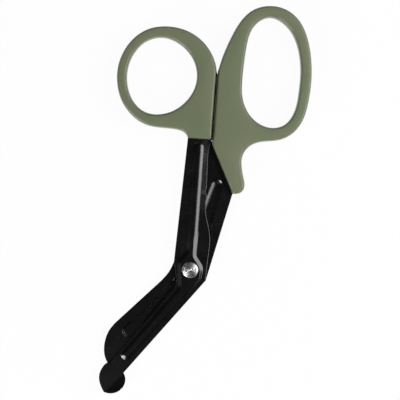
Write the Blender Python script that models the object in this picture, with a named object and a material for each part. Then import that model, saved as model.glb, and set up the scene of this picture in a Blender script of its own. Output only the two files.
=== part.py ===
"""Bandage shears lying flat and closed: two pressed steel blades on a rivet, each moulded into a handle.

The blades' pivot is the origin, +Y runs towards the handles and +Z is up, away from what they lie on.
Every length below is in millimetres and is scaled to metres where the meshes are made.
"""

import math

import bmesh
import bpy
import numpy as np

MM = 0.001

# Pivot.
RIVET_RADIUS = 2.0
RIVET_CLEARANCE = 0.08
RIVET_HEAD_RADIUS = 3.7
RIVET_TAIL_RADIUS = 3.1
RIVET_TAIL_HEIGHT = 0.8
WASHER_RADIUS = 3.8
WASHER_THICKNESS = 0.45
WASHER_EDGE_BREAK = 0.1
STACK_GAP = 0.2

# The rivet's head and its tail, up their outsides: how far in from the radius and how far up from the lower
# face.
HEAD_PROFILE = (
    (0.25, 0.0), (0.0, 0.2), (0.0, 0.45), (0.25, 0.75), (0.9, 1.0), (2.0, 1.18), (3.1, 1.24), (3.4, 1.1),
)
TAIL_PROFILE = ((0.4, 0.0), (0.0, 0.25), (0.0, 0.55), (0.25, RIVET_TAIL_HEIGHT))

# Sheet steel. The blades are pressed outwards from the plane where they shear against each other.
SHEET = 1.6
EMBOSS = 0.9
BLADE_GAP = 0.3
CONTACT_Z = RIVET_TAIL_HEIGHT + STACK_GAP + WASHER_THICKNESS + STACK_GAP + EMBOSS + SHEET + BLADE_GAP / 2

# Blade edges.
EDGE_BREAK = 0.2
GRIND_WIDTH = 1.0
GRIND_LAND = 0.25
TOOTH_PITCH = 0.8
TOOTH_DEPTH = 0.3

# The pressed rib: how far in from its foot each step of its flank lies, and its share of the full height there.
FLANK_IN = (0.0, 0.35, 0.9, 1.4, 1.8)
FLANK_UP = (0.0, 0.12, 0.62, 0.92, 1.0)

# The blunt tip: its folded tab, which is a segment of a circle seen from above.
FOLD_ANGLE = math.radians(30)
FOLD_INNER_RADIUS = 0.8
FOLD_ARC = FOLD_ANGLE * (FOLD_INNER_RADIUS + SHEET / 2)
TAB_DEPTH = 4.05
TAB_LAST_SHARE = 0.985

# Handles. Their edges are sharper where they meet the blades and each other than round their backs.
HANDLE_THICKNESS = 2 * CONTACT_Z
OUTER_ROUND = 1.1
HOLE_ROUND = 1.2
MEETING_ROUND = 0.3
ROUND_BLEND = 6.0
ROUND_ASPECT = 1.3
SOCKET_GAP = 0.3
SOCKET_REACH = 4.0
KEY_HOLE_RADIUS = 1.5
KEY_PIN_RADIUS = 1.2

# How finely curves are cut into straight sides: distances between points, and numbers of steps.
FINE_SPACING = 0.8
BLADE_SPACING = 1.6
HANDLE_SPACING = 1.9
STRAIGHT_SPACING = 6.0
ROUND_STEPS = 32
ROUNDING_STEPS = 4
FOLD_STEPS = 4
TAB_STEPS = 5
SMOOTH_BELOW = math.radians(32)

# The front blade's outline, seen from above and anticlockwise. Its cutting edge is the straight line from the
# end of its heel to the start of its tip, and its spine the one from FOLD_START to its shank's right side.
FRONT_SHANK_LEFT = ((-1.12, 59.3), (-7.42, 3.5))
FRONT_HEEL = (FRONT_SHANK_LEFT[-1], (-6.7, -0.4), (-6.3, -4.2), (-6.6, -7.2), (-7.9, -8.5))
FRONT_TIP = (
    (-36.8, -41.9), (-38.3, -42.5), (-39.9, -44.3), (-41.2, -47.2), (-41.3, -50.0), (-40.2, -53.6),
    (-38.35, -55.6),
)
FOLD_START = (-29.9, -46.3)
FRONT_SHANK_RIGHT = (
    (7.0, -4.9), (7.3, -1.4), (7.9, 3.6), (8.7, 9.6), (9.0, 15.2), (8.2, 20.2), (7.2, 25.2), (7.1, 30.4),
)
FRONT_NECK = (FRONT_SHANK_RIGHT[-1], (7.6, 33.4), (6.8, 35.2), (7.5, 37.1), (8.1, 52.0), (9.4, 58.6))

# The rear blade's outline. Its cutting edge lies OVERLAP behind the front blade's, starts just before its heel
# and ends just past its end.
OVERLAP = 2.2
REAR_PAST_TIP = 0.6
REAR_BEFORE_HEEL = 1.0
REAR_SHANK_LEFT = ((9.9, 56.6), (9.9, 58.4), (6.4, 58.4), (4.4, 51.6), (1.2, 24.0))
REAR_BACK = (REAR_SHANK_LEFT[-1], (-2.2, 14.6), (-5.4, 8.4), (-7.5, 3.5), (-9.7, -0.9), (-13.0, -4.8))
REAR_NOSE = ((-34.4, -24.4), (-36.9, -27.6), (-38.6, -31.7), (-39.2, -36.0), (-38.5, -40.4), (-37.2, -43.0))
REAR_TOE = ((-3.6, -10.4), (0.8, -9.3), (4.6, -7.0), (7.05, -4.9))
REAR_SHANK_RIGHT = (REAR_TOE[-1], (18.95, 34.3))

# The tangs that the handles are moulded round, anticlockwise from their right side at the mouth, and their key
# holes.
FRONT_TANG = ((7.7, 58.73), (8.2, 75.0), (3.6, 75.6), (1.4, 59.14))
FRONT_KEY = (5.4, 68.5)
REAR_TANG = ((16.75, 39.72), (21.4, 62.5), (15.4, 64.3), (11.96, 51.65))
REAR_KEY = (17.4, 57.4)

# Outlines of the pressed ribs: straight sides with rounded corners, each (x, y, radius), anticlockwise.
FRONT_RIB = (
    (6.6, 58.0, 2.4), (1.4, 58.2, 2.4), (-1.8, 8.6, 3.0), (-6.1, 4.2, 3.0), (-5.6, -7.9, 2.5),
    (-33.0, -39.5, 2.3), (-28.9, -42.5, 2.3), (4.9, -4.6, 3.5), (6.2, 1.2, 4.6), (3.2, 6.4, 1.5),
)
REAR_RIB = (
    (15.2, 40.6, 2.1), (10.2, 41.6, 2.1), (-1.9, 9.2, 3.0), (-6.6, 0.6, 4.5), (-8.4, -4.4, 3.0),
    (-16.9, -13.6, 12.0), (-31.5, -27.2, 2.4), (-30.2, -35.4, 2.4), (-7.9, -9.7, 2.0), (2.2, -6.8, 4.5),
    (6.3, -0.8, 4.5),
)

# Outlines of the handles, anticlockwise. Both run straight along the seam between them.
THUMB_MOUTH = ((-1.1, 59.6), (9.8, 58.9))
THUMB_SEAM_TOP = (12.0, 87.6)
THUMB_BACK = (
    THUMB_SEAM_TOP, (11.95, 91.0), (9.6, 98.4), (5.6, 103.8), (-3.2, 109.2), (-11.6, 110.5), (-19.4, 109.1),
    (-25.3, 105.4), (-30.2, 99.2), (-33.0, 91.2), (-33.1, 84.0), (-31.2, 76.8), (-27.9, 71.6), (-20.2, 65.9),
    (-14.4, 64.6), (-7.6, 63.9), (-3.8, 62.9), (-1.8, 61.3), THUMB_MOUTH[0],
)
THUMB_HOLE = (
    (-11.9, 105.3), (-19.6, 103.8), (-25.2, 98.5), (-28.3, 91.0), (-28.2, 82.6), (-25.2, 75.7), (-20.3, 71.6),
    (-13.0, 70.7), (-6.4, 72.9), (-1.6, 76.8), (2.0, 82.6), (2.9, 89.9), (0.1, 97.4), (-5.3, 102.7),
)
FINGER_MOUTH = ((10.2, 56.1), (19.2, 34.4))
FINGER_SEAM = ((12.4, 88.6), (10.2, 58.8))
FINGER_BACK = (
    FINGER_MOUTH[1], (21.4, 34.4), (23.9, 35.9), (24.7, 38.4), (24.2, 41.8), (23.5, 46.0), (23.4, 49.9),
    (24.4, 53.0), (27.4, 56.3), (32.2, 58.0), (38.9, 58.6), (43.6, 60.0), (47.9, 63.1), (51.3, 68.1),
    (53.6, 75.6), (55.0, 85.0), (55.1, 93.4), (53.5, 104.2), (49.4, 113.2), (43.4, 118.1), (35.9, 119.7),
    (28.6, 117.9), (23.0, 112.9), (18.4, 105.2), (14.6, 96.5), FINGER_SEAM[0],
)
FINGER_HOLE = (
    (36.4, 114.4), (29.2, 110.6), (25.6, 101.0), (23.7, 85.8), (23.8, 78.2), (26.4, 71.2), (31.6, 66.1),
    (37.4, 64.4), (42.4, 65.6), (46.8, 70.8), (49.2, 80.4), (50.0, 89.4), (49.1, 99.2), (46.4, 106.8),
    (42.0, 112.0),
)


def unit(vectors):
    """Each vector divided by its own length."""
    return vectors / np.linalg.norm(vectors, axis=-1, keepdims=True)


def left_of(vectors):
    """Each plane vector turned a quarter turn anticlockwise."""
    return np.stack([-vectors[..., 1], vectors[..., 0]], axis=-1)


def line(start, end, spacing=STRAIGHT_SPACING):
    """Points from start to end, about evenly spaced."""
    start, end = np.array(start), np.array(end)
    return np.linspace(start, end, max(2, round(np.linalg.norm(end - start) / spacing) + 1))


def spline(points, spacing, lap=0):
    """The natural cubic spline through the points, sampled evenly along its chords.

    A lap leaves out that many spans at each end, for points that run past both ends of a closed curve.
    """
    points = np.asarray(points, float)
    spans = np.linalg.norm(np.diff(points, axis=0), axis=1)
    knots = np.concatenate([[0.0], np.cumsum(spans)])
    slopes = np.diff(points, axis=0) / spans[:, None]
    count = len(points)
    system = np.eye(count)
    right = np.zeros((count, 2))
    inner = np.arange(1, count - 1)
    system[inner, inner - 1] = spans[:-1]
    system[inner, inner] = 2 * (spans[:-1] + spans[1:])
    system[inner, inner + 1] = spans[1:]
    right[1:-1] = 6 * np.diff(slopes, axis=0)
    bends = np.linalg.solve(system, right)
    start, end = knots[lap], knots[count - 1 - lap]
    along = np.linspace(start, end, max(2, round((end - start) / spacing) + 1))
    span = np.clip(np.searchsorted(knots, along, side="right") - 1, 0, count - 2)
    width = spans[span][:, None]
    ahead = (along - knots[span])[:, None] / width
    behind = 1 - ahead
    bow = (behind**3 - behind) * bends[span] + (ahead**3 - ahead) * bends[span + 1]
    return behind * points[span] + ahead * points[span + 1] + bow * width**2 / 6


def closed_spline(points, spacing):
    """A smooth closed curve through the points, its last sample one step before its first."""
    lap = 4
    return spline(points[-lap:] + points + points[: lap + 1], spacing, lap)[:-1]


def rounded_polygon(corners, spacing):
    """Straight sides whose corners (x, y, radius) are arcs tangent to both sides, sampled about evenly."""
    centres = np.array([corner[:2] for corner in corners])
    outline = []
    comes, goes = np.roll(centres, 1, 0), np.roll(centres, -1, 0)
    for before, here, after, (_, _, radius) in zip(comes, centres, goes, corners):
        come, go = unit(here - before), unit(after - here)
        turn = math.atan2(come[0] * go[1] - come[1] * go[0], come @ go)
        inward = left_of(come) * math.copysign(1.0, turn)
        centre = here - come * radius * math.tan(abs(turn) / 2) + inward * radius
        steps = max(2, round(abs(turn) * radius / spacing))
        for angle in np.linspace(0, turn, steps + 1):
            spoke = -inward * radius
            swung = spoke * math.cos(angle) + left_of(spoke) * math.sin(angle)
            outline.append(centre + swung)
    return np.array(outline)


def circle(radius, centre=(0.0, 0.0)):
    """Points round a circle, anticlockwise."""
    angles = np.arange(ROUND_STEPS) * math.tau / ROUND_STEPS
    return np.stack([np.cos(angles), np.sin(angles)], axis=1) * radius + np.asarray(centre)


def inset(loop, distance):
    """A closed anticlockwise loop with its sides moved inwards by a distance, which may differ at each point."""
    before = left_of(unit(loop - np.roll(loop, 1, 0)))
    after = left_of(unit(np.roll(loop, -1, 0) - loop))
    mitre = (before + after) / (1 + np.sum(before * after, axis=1))[:, None]
    return loop + mitre * np.broadcast_to(distance, len(loop))[:, None]


def joined(*runs):
    """One closed outline from runs of points, each run's last point being the next run's first."""
    return np.concatenate([np.asarray(run, float)[:-1] for run in runs])


def ring(mesh, loop, height):
    """The vertices of a loop at a height, which may differ at each point."""
    return [mesh.verts.new((x, y, z)) for (x, y), z in zip(loop, np.broadcast_to(height, len(loop)))]


def walls(mesh, rings, skip=None):
    """Quads between each ring and the next, with one side of the loop left out if skip names it."""
    for lower, upper in zip(rings, rings[1:]):
        for i in range(len(lower)):
            j = (i + 1) % len(lower)
            if i != skip:
                mesh.faces.new((lower[i], lower[j], upper[j], upper[i]))


def fill(mesh, *loops):
    """Triangles between one flat loop and the loops inside it."""
    edges = []
    for loop in loops:
        for first, second in zip(loop, loop[1:] + loop[:1]):
            edges.append(mesh.edges.get((first, second)) or mesh.edges.new((first, second)))
    bmesh.ops.triangle_fill(mesh, edges=edges, use_beauty=False, use_dissolve=False)


def finish(mesh, name):
    """Scales the mesh to metres, turns all normals outwards and puts it in the scene as an object."""
    bmesh.ops.scale(mesh, vec=(MM, MM, MM), verts=mesh.verts)
    bmesh.ops.recalc_face_normals(mesh, faces=mesh.faces)
    data = bpy.data.meshes.new(name)
    mesh.to_mesh(data)
    mesh.free()
    data.shade_smooth()
    data.set_sharp_from_angle(angle=SMOOTH_BELOW)
    thing = bpy.data.objects.new(name, data)
    bpy.context.scene.collection.objects.link(thing)
    return thing


def painted(name, colour, roughness, metallic):
    """The material of that name, made where it is first used."""
    material = bpy.data.materials.get(name) or bpy.data.materials.new(name)
    material.use_nodes = True
    surface = material.node_tree.nodes["Principled BSDF"]
    surface.inputs["Base Color"].default_value = (*colour, 1.0)
    surface.inputs["Roughness"].default_value = roughness
    surface.inputs["Metallic"].default_value = metallic
    return material


def handle_plastic():
    return painted("handle_plastic", (0.14, 0.17, 0.10), 0.55, 0.0)


def coated_steel():
    return painted("coated_steel", (0.012, 0.012, 0.013), 0.35, 0.6)


def rivet_steel():
    return painted("rivet_steel", (0.55, 0.54, 0.52), 0.28, 1.0)


def fold_point(beyond, depth):
    """Where a point of the tab lies, as (distance past the fold line, height above the sheet's inner face).

    beyond is its distance past the line on the unfolded sheet and depth its height above the inner face there.
    The sheet follows an arc about an axis FOLD_INNER_RADIUS under its inner face, then runs straight on.
    """
    angle = min(beyond / FOLD_ARC, 1.0) * FOLD_ANGLE
    straight = max(beyond - FOLD_ARC, 0.0)
    reach = FOLD_INNER_RADIUS + depth
    return (
        reach * math.sin(angle) + straight * math.cos(FOLD_ANGLE),
        reach * math.cos(angle) - FOLD_INNER_RADIUS - straight * math.sin(FOLD_ANGLE),
    )


def tab_columns(level_of, levels):
    """The two side columns of each cross-section of the tab, from the fold line to its tip.

    Seen from above the tab is a segment of a circle through both ends of the fold line. levels holds, for each
    point of a column from the inner face up, its depth in the sheet and how far the side is drawn in there.
    """
    start, end = np.array(FOLD_START), np.array(FRONT_TIP[-1])
    along = unit(start - end)
    across = -left_of(along)
    half = np.linalg.norm(start - end) / 2
    radius = (half**2 + TAB_DEPTH**2) / (2 * TAB_DEPTH)
    centre_back = radius - TAB_DEPTH
    full = FOLD_ARC + (TAB_DEPTH - fold_point(FOLD_ARC, SHEET)[0]) / math.cos(FOLD_ANGLE)
    bend = np.linspace(0, FOLD_ARC, FOLD_STEPS + 1)[1:]
    rise = np.sin(np.linspace(0, math.pi / 2, TAB_STEPS + 1))[1:] * TAB_LAST_SHARE
    columns = []
    for beyond in (*bend, *(FOLD_ARC + (full - FOLD_ARC) * rise)):
        seen = fold_point(beyond, SHEET)[0]
        width = math.sqrt(radius**2 - (centre_back + seen) ** 2)
        pair = []
        for side in (-1, 1):
            column = []
            for depth, slim in levels:
                out, up = fold_point(beyond, depth)
                spot = (start + end) / 2 + across * out + along * side * (width - slim)
                column.append((*spot, level_of(up)))
            pair.append(column)
        columns.append(pair)
    return columns


def add_tab(mesh, rings, fold_side, level_of):
    """Grows the folded tab from the side of the blade's rings that lies on the fold line."""
    levels = ((0.0, 0.0), (SHEET - EDGE_BREAK, 0.0), (SHEET, EDGE_BREAK))
    pair = [[one[fold_side] for one in rings], [one[(fold_side + 1) % len(rings[0])] for one in rings]]
    for columns in tab_columns(level_of, levels):
        grown = [[mesh.verts.new(spot) for spot in column] for column in columns]
        for now, new in zip(pair, grown):
            for k in range(len(levels) - 1):
                mesh.faces.new((now[k], new[k], new[k + 1], now[k + 1]))
        for k in (0, -1):
            mesh.faces.new((pair[0][k], pair[1][k], grown[1][k], grown[0][k]))
        pair = grown
    mesh.faces.new(pair[0] + pair[1][::-1])


def blade(name, side, outline, grind, teeth, rib, key, fold_side=None):
    """A pressed sheet-steel blade.

    outline is its edge at the contact plane, without teeth; grind is how far in the outer face starts at each
    point and teeth how far each point is notched. side is +1 for the blade pressed upwards, -1 for the other.
    """
    def level_of(up):
        return CONTACT_Z + side * (BLADE_GAP / 2 + up)

    mesh = bmesh.new()
    edge = inset(outline, teeth)
    shoulder = np.where(grind > EDGE_BREAK, GRIND_LAND, SHEET - EDGE_BREAK)
    rings = [
        ring(mesh, edge, level_of(0.0)),
        ring(mesh, edge, level_of(shoulder)),
        ring(mesh, inset(outline, grind), level_of(SHEET)),
    ]
    walls(mesh, rings, fold_side)
    if fold_side is not None:
        add_tab(mesh, rings, fold_side, level_of)

    rivet_holes, key_holes = [], []
    for base, outer in ((0.0, rings[0]), (SHEET, rings[2])):
        steps = [
            ring(mesh, inset(rib, inwards), level_of(base + EMBOSS * share))
            for inwards, share in zip(FLANK_IN, FLANK_UP)
        ]
        rivet_holes.append(ring(mesh, circle(RIVET_RADIUS + RIVET_CLEARANCE), level_of(base + EMBOSS)))
        key_holes.append(ring(mesh, circle(KEY_HOLE_RADIUS, key), level_of(base)))
        fill(mesh, outer, steps[0], key_holes[-1])
        walls(mesh, steps)
        fill(mesh, steps[-1], rivet_holes[-1])
    walls(mesh, rivet_holes)
    walls(mesh, key_holes)
    thing = finish(mesh, name)
    thing.data.materials.append(coated_steel())
    return thing


def front_blade():
    """The thumb handle's blade: serrated, and ending in a blunt tip with a folded tab."""
    heel_end, edge_end = np.array(FRONT_HEEL[-1]), np.array(FRONT_TIP[0])
    teeth_count = round(np.linalg.norm(edge_end - heel_end) / TOOTH_PITCH)
    cutting = np.linspace(heel_end, edge_end, 2 * teeth_count + 1)
    shank_left = (*FRONT_TANG[1:], *FRONT_SHANK_LEFT)
    heel = spline(FRONT_HEEL, BLADE_SPACING)
    tip = spline(FRONT_TIP, FINE_SPACING)
    fold = (FRONT_TIP[-1], FOLD_START)
    spine = line(FOLD_START, FRONT_SHANK_RIGHT[0])
    shank_right = spline(FRONT_SHANK_RIGHT, BLADE_SPACING)
    neck = (*FRONT_NECK, *FRONT_TANG[:2])
    outline = joined(shank_left, heel, cutting, tip, fold, spine, shank_right, neck)
    first = len(shank_left) + len(heel) - 2
    last = first + len(cutting) - 1
    fold_side = last + len(tip) - 1
    grind = np.full(len(outline), EDGE_BREAK)
    grind[first + 1 : last + 1] = GRIND_WIDTH
    grind[fold_side : fold_side + 2] = 0.0
    teeth = np.zeros(len(outline))
    teeth[first + 1 : last : 2] = TOOTH_DEPTH
    rib = rounded_polygon(FRONT_RIB, FINE_SPACING)
    return blade("front_blade", 1, outline, grind, teeth, rib, FRONT_KEY, fold_side)


def rear_blade():
    """The finger handle's blade: a plain edge that lies behind the other's when the shears are closed."""
    heel_end, edge_end = np.array(FRONT_HEEL[-1]), np.array(FRONT_TIP[0])
    along = unit(edge_end - heel_end)
    under = left_of(along) * OVERLAP
    cutting = line(edge_end + under + along * REAR_PAST_TIP, heel_end + under + along * REAR_BEFORE_HEEL)
    shank_left = (*REAR_TANG[1:], *REAR_SHANK_LEFT)
    back = spline(REAR_BACK, BLADE_SPACING)
    spine = line(REAR_BACK[-1], REAR_NOSE[0])
    nose = spline(REAR_NOSE, BLADE_SPACING)
    toe = spline((cutting[-1], *REAR_TOE), BLADE_SPACING)
    shank_right = (*REAR_SHANK_RIGHT, *REAR_TANG[:2])
    outline = joined(shank_left, back, spine, nose, (nose[-1], cutting[0]), cutting, toe, shank_right)
    first = len(shank_left) + len(back) + len(spine) + len(nose) - 3
    grind = np.full(len(outline), EDGE_BREAK)
    grind[first : first + len(cutting) - 1] = GRIND_WIDTH
    teeth = np.zeros(len(outline))
    rib = rounded_polygon(REAR_RIB, FINE_SPACING)
    return blade("rear_blade", -1, outline, grind, teeth, rib, REAR_KEY)


def rounded_rings(mesh, loop, round_in):
    """Rings up the side of a slab whose two edges are quarter ellipses, round_in wide at each point."""
    quarter = np.linspace(0, math.pi / 2, ROUNDING_STEPS + 1)
    round_up = np.abs(round_in) * ROUND_ASPECT
    below = [((1 - math.sin(a)) * round_in, (1 - math.cos(a)) * round_up) for a in quarter]
    above = [(inwards, HANDLE_THICKNESS - height) for inwards, height in reversed(below)]
    return [ring(mesh, inset(loop, inwards), height) for inwards, height in below + above]


def socket(name, tang, key, side):
    """The space that a tang takes in its handle, run out through the mouth, less the pin in its key hole."""
    right, top_right, top_left, left = np.array(tang)
    mouth_right = right + unit(right - top_right) * SOCKET_REACH
    mouth_left = left + unit(left - top_left) * SOCKET_REACH
    loop = inset(np.array((mouth_right, top_right, top_left, mouth_left)), -SOCKET_GAP)
    mesh = bmesh.new()
    near, far = BLADE_GAP / 2 - SOCKET_GAP, BLADE_GAP / 2 + SHEET + SOCKET_GAP
    outer = [ring(mesh, loop, CONTACT_Z + side * up) for up in (near, far)]
    inner = [ring(mesh, circle(KEY_PIN_RADIUS, key), CONTACT_Z + side * up) for up in (near, far)]
    walls(mesh, outer)
    walls(mesh, inner)
    for k in (0, 1):
        fill(mesh, outer[k], inner[k])
    cutter = finish(mesh, name)
    cutter.hide_render = True
    cutter.display_type = "WIRE"
    return cutter


def handle(name, outline, hole, meeting, cutter):
    """A moulded handle: a slab with rounded edges, its hole and its socket.

    Along the points in meeting, where it meets its blade and the other handle, its edges are only just rounded.
    """
    mesh = bmesh.new()
    away = np.linalg.norm(outline[:, None] - meeting[None], axis=2).min(axis=1)
    blend = np.clip(away / ROUND_BLEND, 0, 1)
    round_in = MEETING_ROUND + (OUTER_ROUND - MEETING_ROUND) * blend * blend * (3 - 2 * blend)
    outer = rounded_rings(mesh, outline, round_in)
    inner = rounded_rings(mesh, hole, -HOLE_ROUND)
    walls(mesh, outer)
    walls(mesh, inner)
    for k in (0, -1):
        fill(mesh, outer[k], inner[k])
    thing = finish(mesh, name)
    thing.data.materials.append(handle_plastic())
    cutter.parent = thing
    cut = thing.modifiers.new("socket", "BOOLEAN")
    cut.operation = "DIFFERENCE"
    cut.solver = "EXACT"
    cut.object = cutter
    return thing


def thumb_handle():
    """The handle with the round hole. Its mouth holds the front blade's tang."""
    seam = line(THUMB_MOUTH[1], THUMB_SEAM_TOP, HANDLE_SPACING)
    outline = joined(seam, spline(THUMB_BACK, HANDLE_SPACING), THUMB_MOUTH)
    meeting = np.concatenate([seam, THUMB_MOUTH])
    cutter = socket("thumb_socket", FRONT_TANG, FRONT_KEY, 1)
    hole = closed_spline(THUMB_HOLE, HANDLE_SPACING)
    return handle("thumb_handle", outline, hole, meeting, cutter)


def finger_handle():
    """The handle with the long hole. Its mouth, the slanting edge on its left, holds the rear blade's tang."""
    seam = line(*FINGER_SEAM, HANDLE_SPACING)
    back = spline(FINGER_BACK, HANDLE_SPACING)
    outline = joined(back, seam, (seam[-1], FINGER_MOUTH[0]), FINGER_MOUTH)
    meeting = np.concatenate([seam, FINGER_MOUTH])
    cutter = socket("finger_socket", REAR_TANG, REAR_KEY, -1)
    hole = closed_spline(FINGER_HOLE, HANDLE_SPACING)
    return handle("finger_handle", outline, hole, meeting, cutter)


def turned(name, profile, bore=False):
    """A body turned about the pivot axis from a profile (radius, height) that runs up its outside."""
    mesh = bmesh.new()
    rings = [ring(mesh, circle(radius), height) for radius, height in profile]
    if bore:
        walls(mesh, rings + rings[:1])
    else:
        walls(mesh, rings)
        mesh.faces.new(rings[0])
        mesh.faces.new(rings[-1])
    thing = finish(mesh, name)
    thing.data.materials.append(rivet_steel())
    return thing


def pivot_rivet():
    """The rivet: a low domed head with a turning centre, its shank, and the spun tail that the shears lie on."""
    head_base = CONTACT_Z + BLADE_GAP / 2 + SHEET + EMBOSS + STACK_GAP
    tail = [(RIVET_TAIL_RADIUS - inwards, up) for inwards, up in TAIL_PROFILE]
    shank = [(RIVET_RADIUS, RIVET_TAIL_HEIGHT), (RIVET_RADIUS, head_base)]
    head = [(RIVET_HEAD_RADIUS - inwards, head_base + up) for inwards, up in HEAD_PROFILE]
    return turned("pivot_rivet", tail + shank + head)


def rivet_washer():
    """The washer between the rear blade and the rivet's tail."""
    bottom = RIVET_TAIL_HEIGHT + STACK_GAP
    top = bottom + WASHER_THICKNESS
    inner = RIVET_RADIUS + RIVET_CLEARANCE
    rim = WASHER_RADIUS - WASHER_EDGE_BREAK
    profile = (
        (inner, bottom), (rim, bottom), (WASHER_RADIUS, bottom + WASHER_EDGE_BREAK),
        (WASHER_RADIUS, top - WASHER_EDGE_BREAK), (rim, top), (inner, top),
    )
    return turned("rivet_washer", profile, bore=True)


def half(name, *makers):
    """An empty on the pivot axis that carries one half's pieces, so that turning it about Z opens the shears."""
    carrier = bpy.data.objects.new(name, None)
    bpy.context.scene.collection.objects.link(carrier)
    for make in makers:
        make().parent = carrier


for old in list(bpy.data.objects):
    bpy.data.objects.remove(old)
half("finger_half", rear_blade, finger_handle, pivot_rivet, rivet_washer)
half("thumb_half", front_blade, thumb_handle)
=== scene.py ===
# %% [markdown]
# # Bandage scissors, lying closed on a pale table
#
# These are the scissors of a first-aid kit: two blades pressed from black coated sheet steel, riveted
# together, each moulded into an olive plastic handle. The blades are bent at the pivot so that the lower
# jaw lies flat on skin, and that jaw ends in a blunt tip with a folded tab, so that it slides under a
# bandage without cutting what is beneath.
#
# The frame holds the exact, plain solids. This script dresses them: it makes each piece again as a finer
# surface in the same place, and gives it the finish of the real thing. We first load the frame and
# measure its box, because the finer surfaces have to keep its size.

# %% Load the frame
import math

import bmesh
import bpy
import numpy as np
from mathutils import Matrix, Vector
from mathutils.geometry import delaunay_2d_cdt


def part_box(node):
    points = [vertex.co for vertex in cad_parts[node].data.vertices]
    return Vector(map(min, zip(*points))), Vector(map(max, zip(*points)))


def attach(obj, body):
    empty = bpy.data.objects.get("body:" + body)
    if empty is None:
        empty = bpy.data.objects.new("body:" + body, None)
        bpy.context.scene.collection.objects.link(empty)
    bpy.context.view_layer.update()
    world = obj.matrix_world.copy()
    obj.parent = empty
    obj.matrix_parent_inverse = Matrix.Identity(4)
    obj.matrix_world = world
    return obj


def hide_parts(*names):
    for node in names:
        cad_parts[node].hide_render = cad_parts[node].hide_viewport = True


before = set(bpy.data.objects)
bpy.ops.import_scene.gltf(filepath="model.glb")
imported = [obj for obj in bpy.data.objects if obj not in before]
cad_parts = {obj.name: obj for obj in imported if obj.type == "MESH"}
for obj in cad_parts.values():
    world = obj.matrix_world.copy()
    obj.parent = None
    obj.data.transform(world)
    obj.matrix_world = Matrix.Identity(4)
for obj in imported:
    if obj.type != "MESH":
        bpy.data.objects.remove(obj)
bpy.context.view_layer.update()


# %% [markdown]
# ## Heights from the frame
#
# All lengths in this script are millimetres, and one factor takes them to metres when a mesh is made. The
# sheet's thickness, the height of its ribs and the gap between the blades are the scissors' own driving
# dimensions. Heights that follow from them could be typed in too, but then a change in the solids would
# leave the surfaces behind. So those are measured on the frame: the handles' thickness, the plane where
# the blades shear, and the rivet's top.

# %% Measure the frame
MM = 0.001
SHEET = 1.6
EMBOSS = 0.9
BLADE_GAP = 0.3


def box_mm(node):
    """Lowest and highest corner of a node of the frame, in millimetres."""
    low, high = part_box(node)
    return np.array(low) / MM, np.array(high) / MM


HANDLE_TOP = box_mm("thumb_handle")[1][2]
CONTACT = box_mm("rear_blade")[1][2] + BLADE_GAP / 2
HEAD_TOP = box_mm("pivot_rivet")[1][2]
print("handles", round(HANDLE_TOP, 2), "contact plane", round(CONTACT, 2), "rivet head", round(HEAD_TOP, 2))

# %% [markdown]
# ## Plane curves
#
# Every piece here starts as a line drawn from above: the outline of a handle, the edge of a blade, the
# foot of a pressed rib. A designer would draw them with splines and arcs, and so do we. First come the
# small tools that all of them need: directions, a soft step from 0 to 1, and a straight row of points.

# %% Directions, soft steps and lines


def unit(vectors):
    """Each vector divided by its own length."""
    return vectors / np.linalg.norm(vectors, axis=-1, keepdims=True)


def left_of(vectors):
    """Each plane vector turned a quarter turn anticlockwise."""
    return np.stack([-vectors[..., 1], vectors[..., 0]], axis=-1)


def smooth(x):
    """Smoothstep: 0 below 0, 1 above 1, and 3x squared less 2x cubed between."""
    x = np.clip(x, 0, 1)
    return x * x * (3 - 2 * x)


def rising(values, start, width):
    """Smoothstep of values from start to start plus width. With a negative width it rises downwards."""
    return smooth((values - start) / width)


def line(start, end, spacing):
    """Points from start to end, about evenly spaced."""
    start, end = np.array(start), np.array(end)
    return np.linspace(start, end, max(2, round(np.linalg.norm(end - start) / spacing) + 1))


print("a soft step at a quarter, a half and three quarters:", smooth(np.array((0.25, 0.5, 0.75))).tolist())

# %% [markdown]
# A natural cubic spline bends as little as it can between its points, which is what a toolmaker's smooth
# edge looks like. Blender's own curves could draw it, but with the formula at hand each curve gets
# exactly the spacing that its surface needs.

# %% Splines


def spline(points, spacing, lap=0):
    """The natural cubic spline through the points: on each chord, a straight line plus a cubic bow.

    The bows' second derivatives come from one linear system, which makes the slope run through at each
    point. lap leaves out that many chords at both ends, for points that run past a closed curve's ends.
    """
    points = np.asarray(points, float)
    spans = np.linalg.norm(np.diff(points, axis=0), axis=1)
    knots = np.concatenate([[0.0], np.cumsum(spans)])
    slopes = np.diff(points, axis=0) / spans[:, None]
    count = len(points)
    system = np.eye(count)
    right = np.zeros((count, 2))
    inner = np.arange(1, count - 1)
    system[inner, inner - 1] = spans[:-1]
    system[inner, inner] = 2 * (spans[:-1] + spans[1:])
    system[inner, inner + 1] = spans[1:]
    right[1:-1] = 6 * np.diff(slopes, axis=0)
    bends = np.linalg.solve(system, right)
    start, end = knots[lap], knots[count - 1 - lap]
    along = np.linspace(start, end, max(2, round((end - start) / spacing) + 1))
    span = np.clip(np.searchsorted(knots, along, side="right") - 1, 0, count - 2)
    width = spans[span][:, None]
    ahead = (along - knots[span])[:, None] / width
    behind = 1 - ahead
    bow = (behind**3 - behind) * bends[span] + (ahead**3 - ahead) * bends[span + 1]
    return behind * points[span] + ahead * points[span + 1] + bow * width**2 / 6


def closed_spline(points, spacing):
    """A smooth closed curve through the points, its last sample one step before its first."""
    lap = 4
    return spline(points[-lap:] + points + points[: lap + 1], spacing, lap)[:-1]


arch = spline(((0, 0), (1, 1), (2, 0)), 0.1)
print("an arch of", len(arch), "points, its highest at", arch[:, 1].max().round(2))

# %% [markdown]
# Straight sides with rounded corners suit what a press tool makes. Each corner is an arc tangent to both
# its sides, and the sides between are sampled as closely, so that a slope carried along the outline has
# even faces.

# %% Rounded polygons and circles


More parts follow.
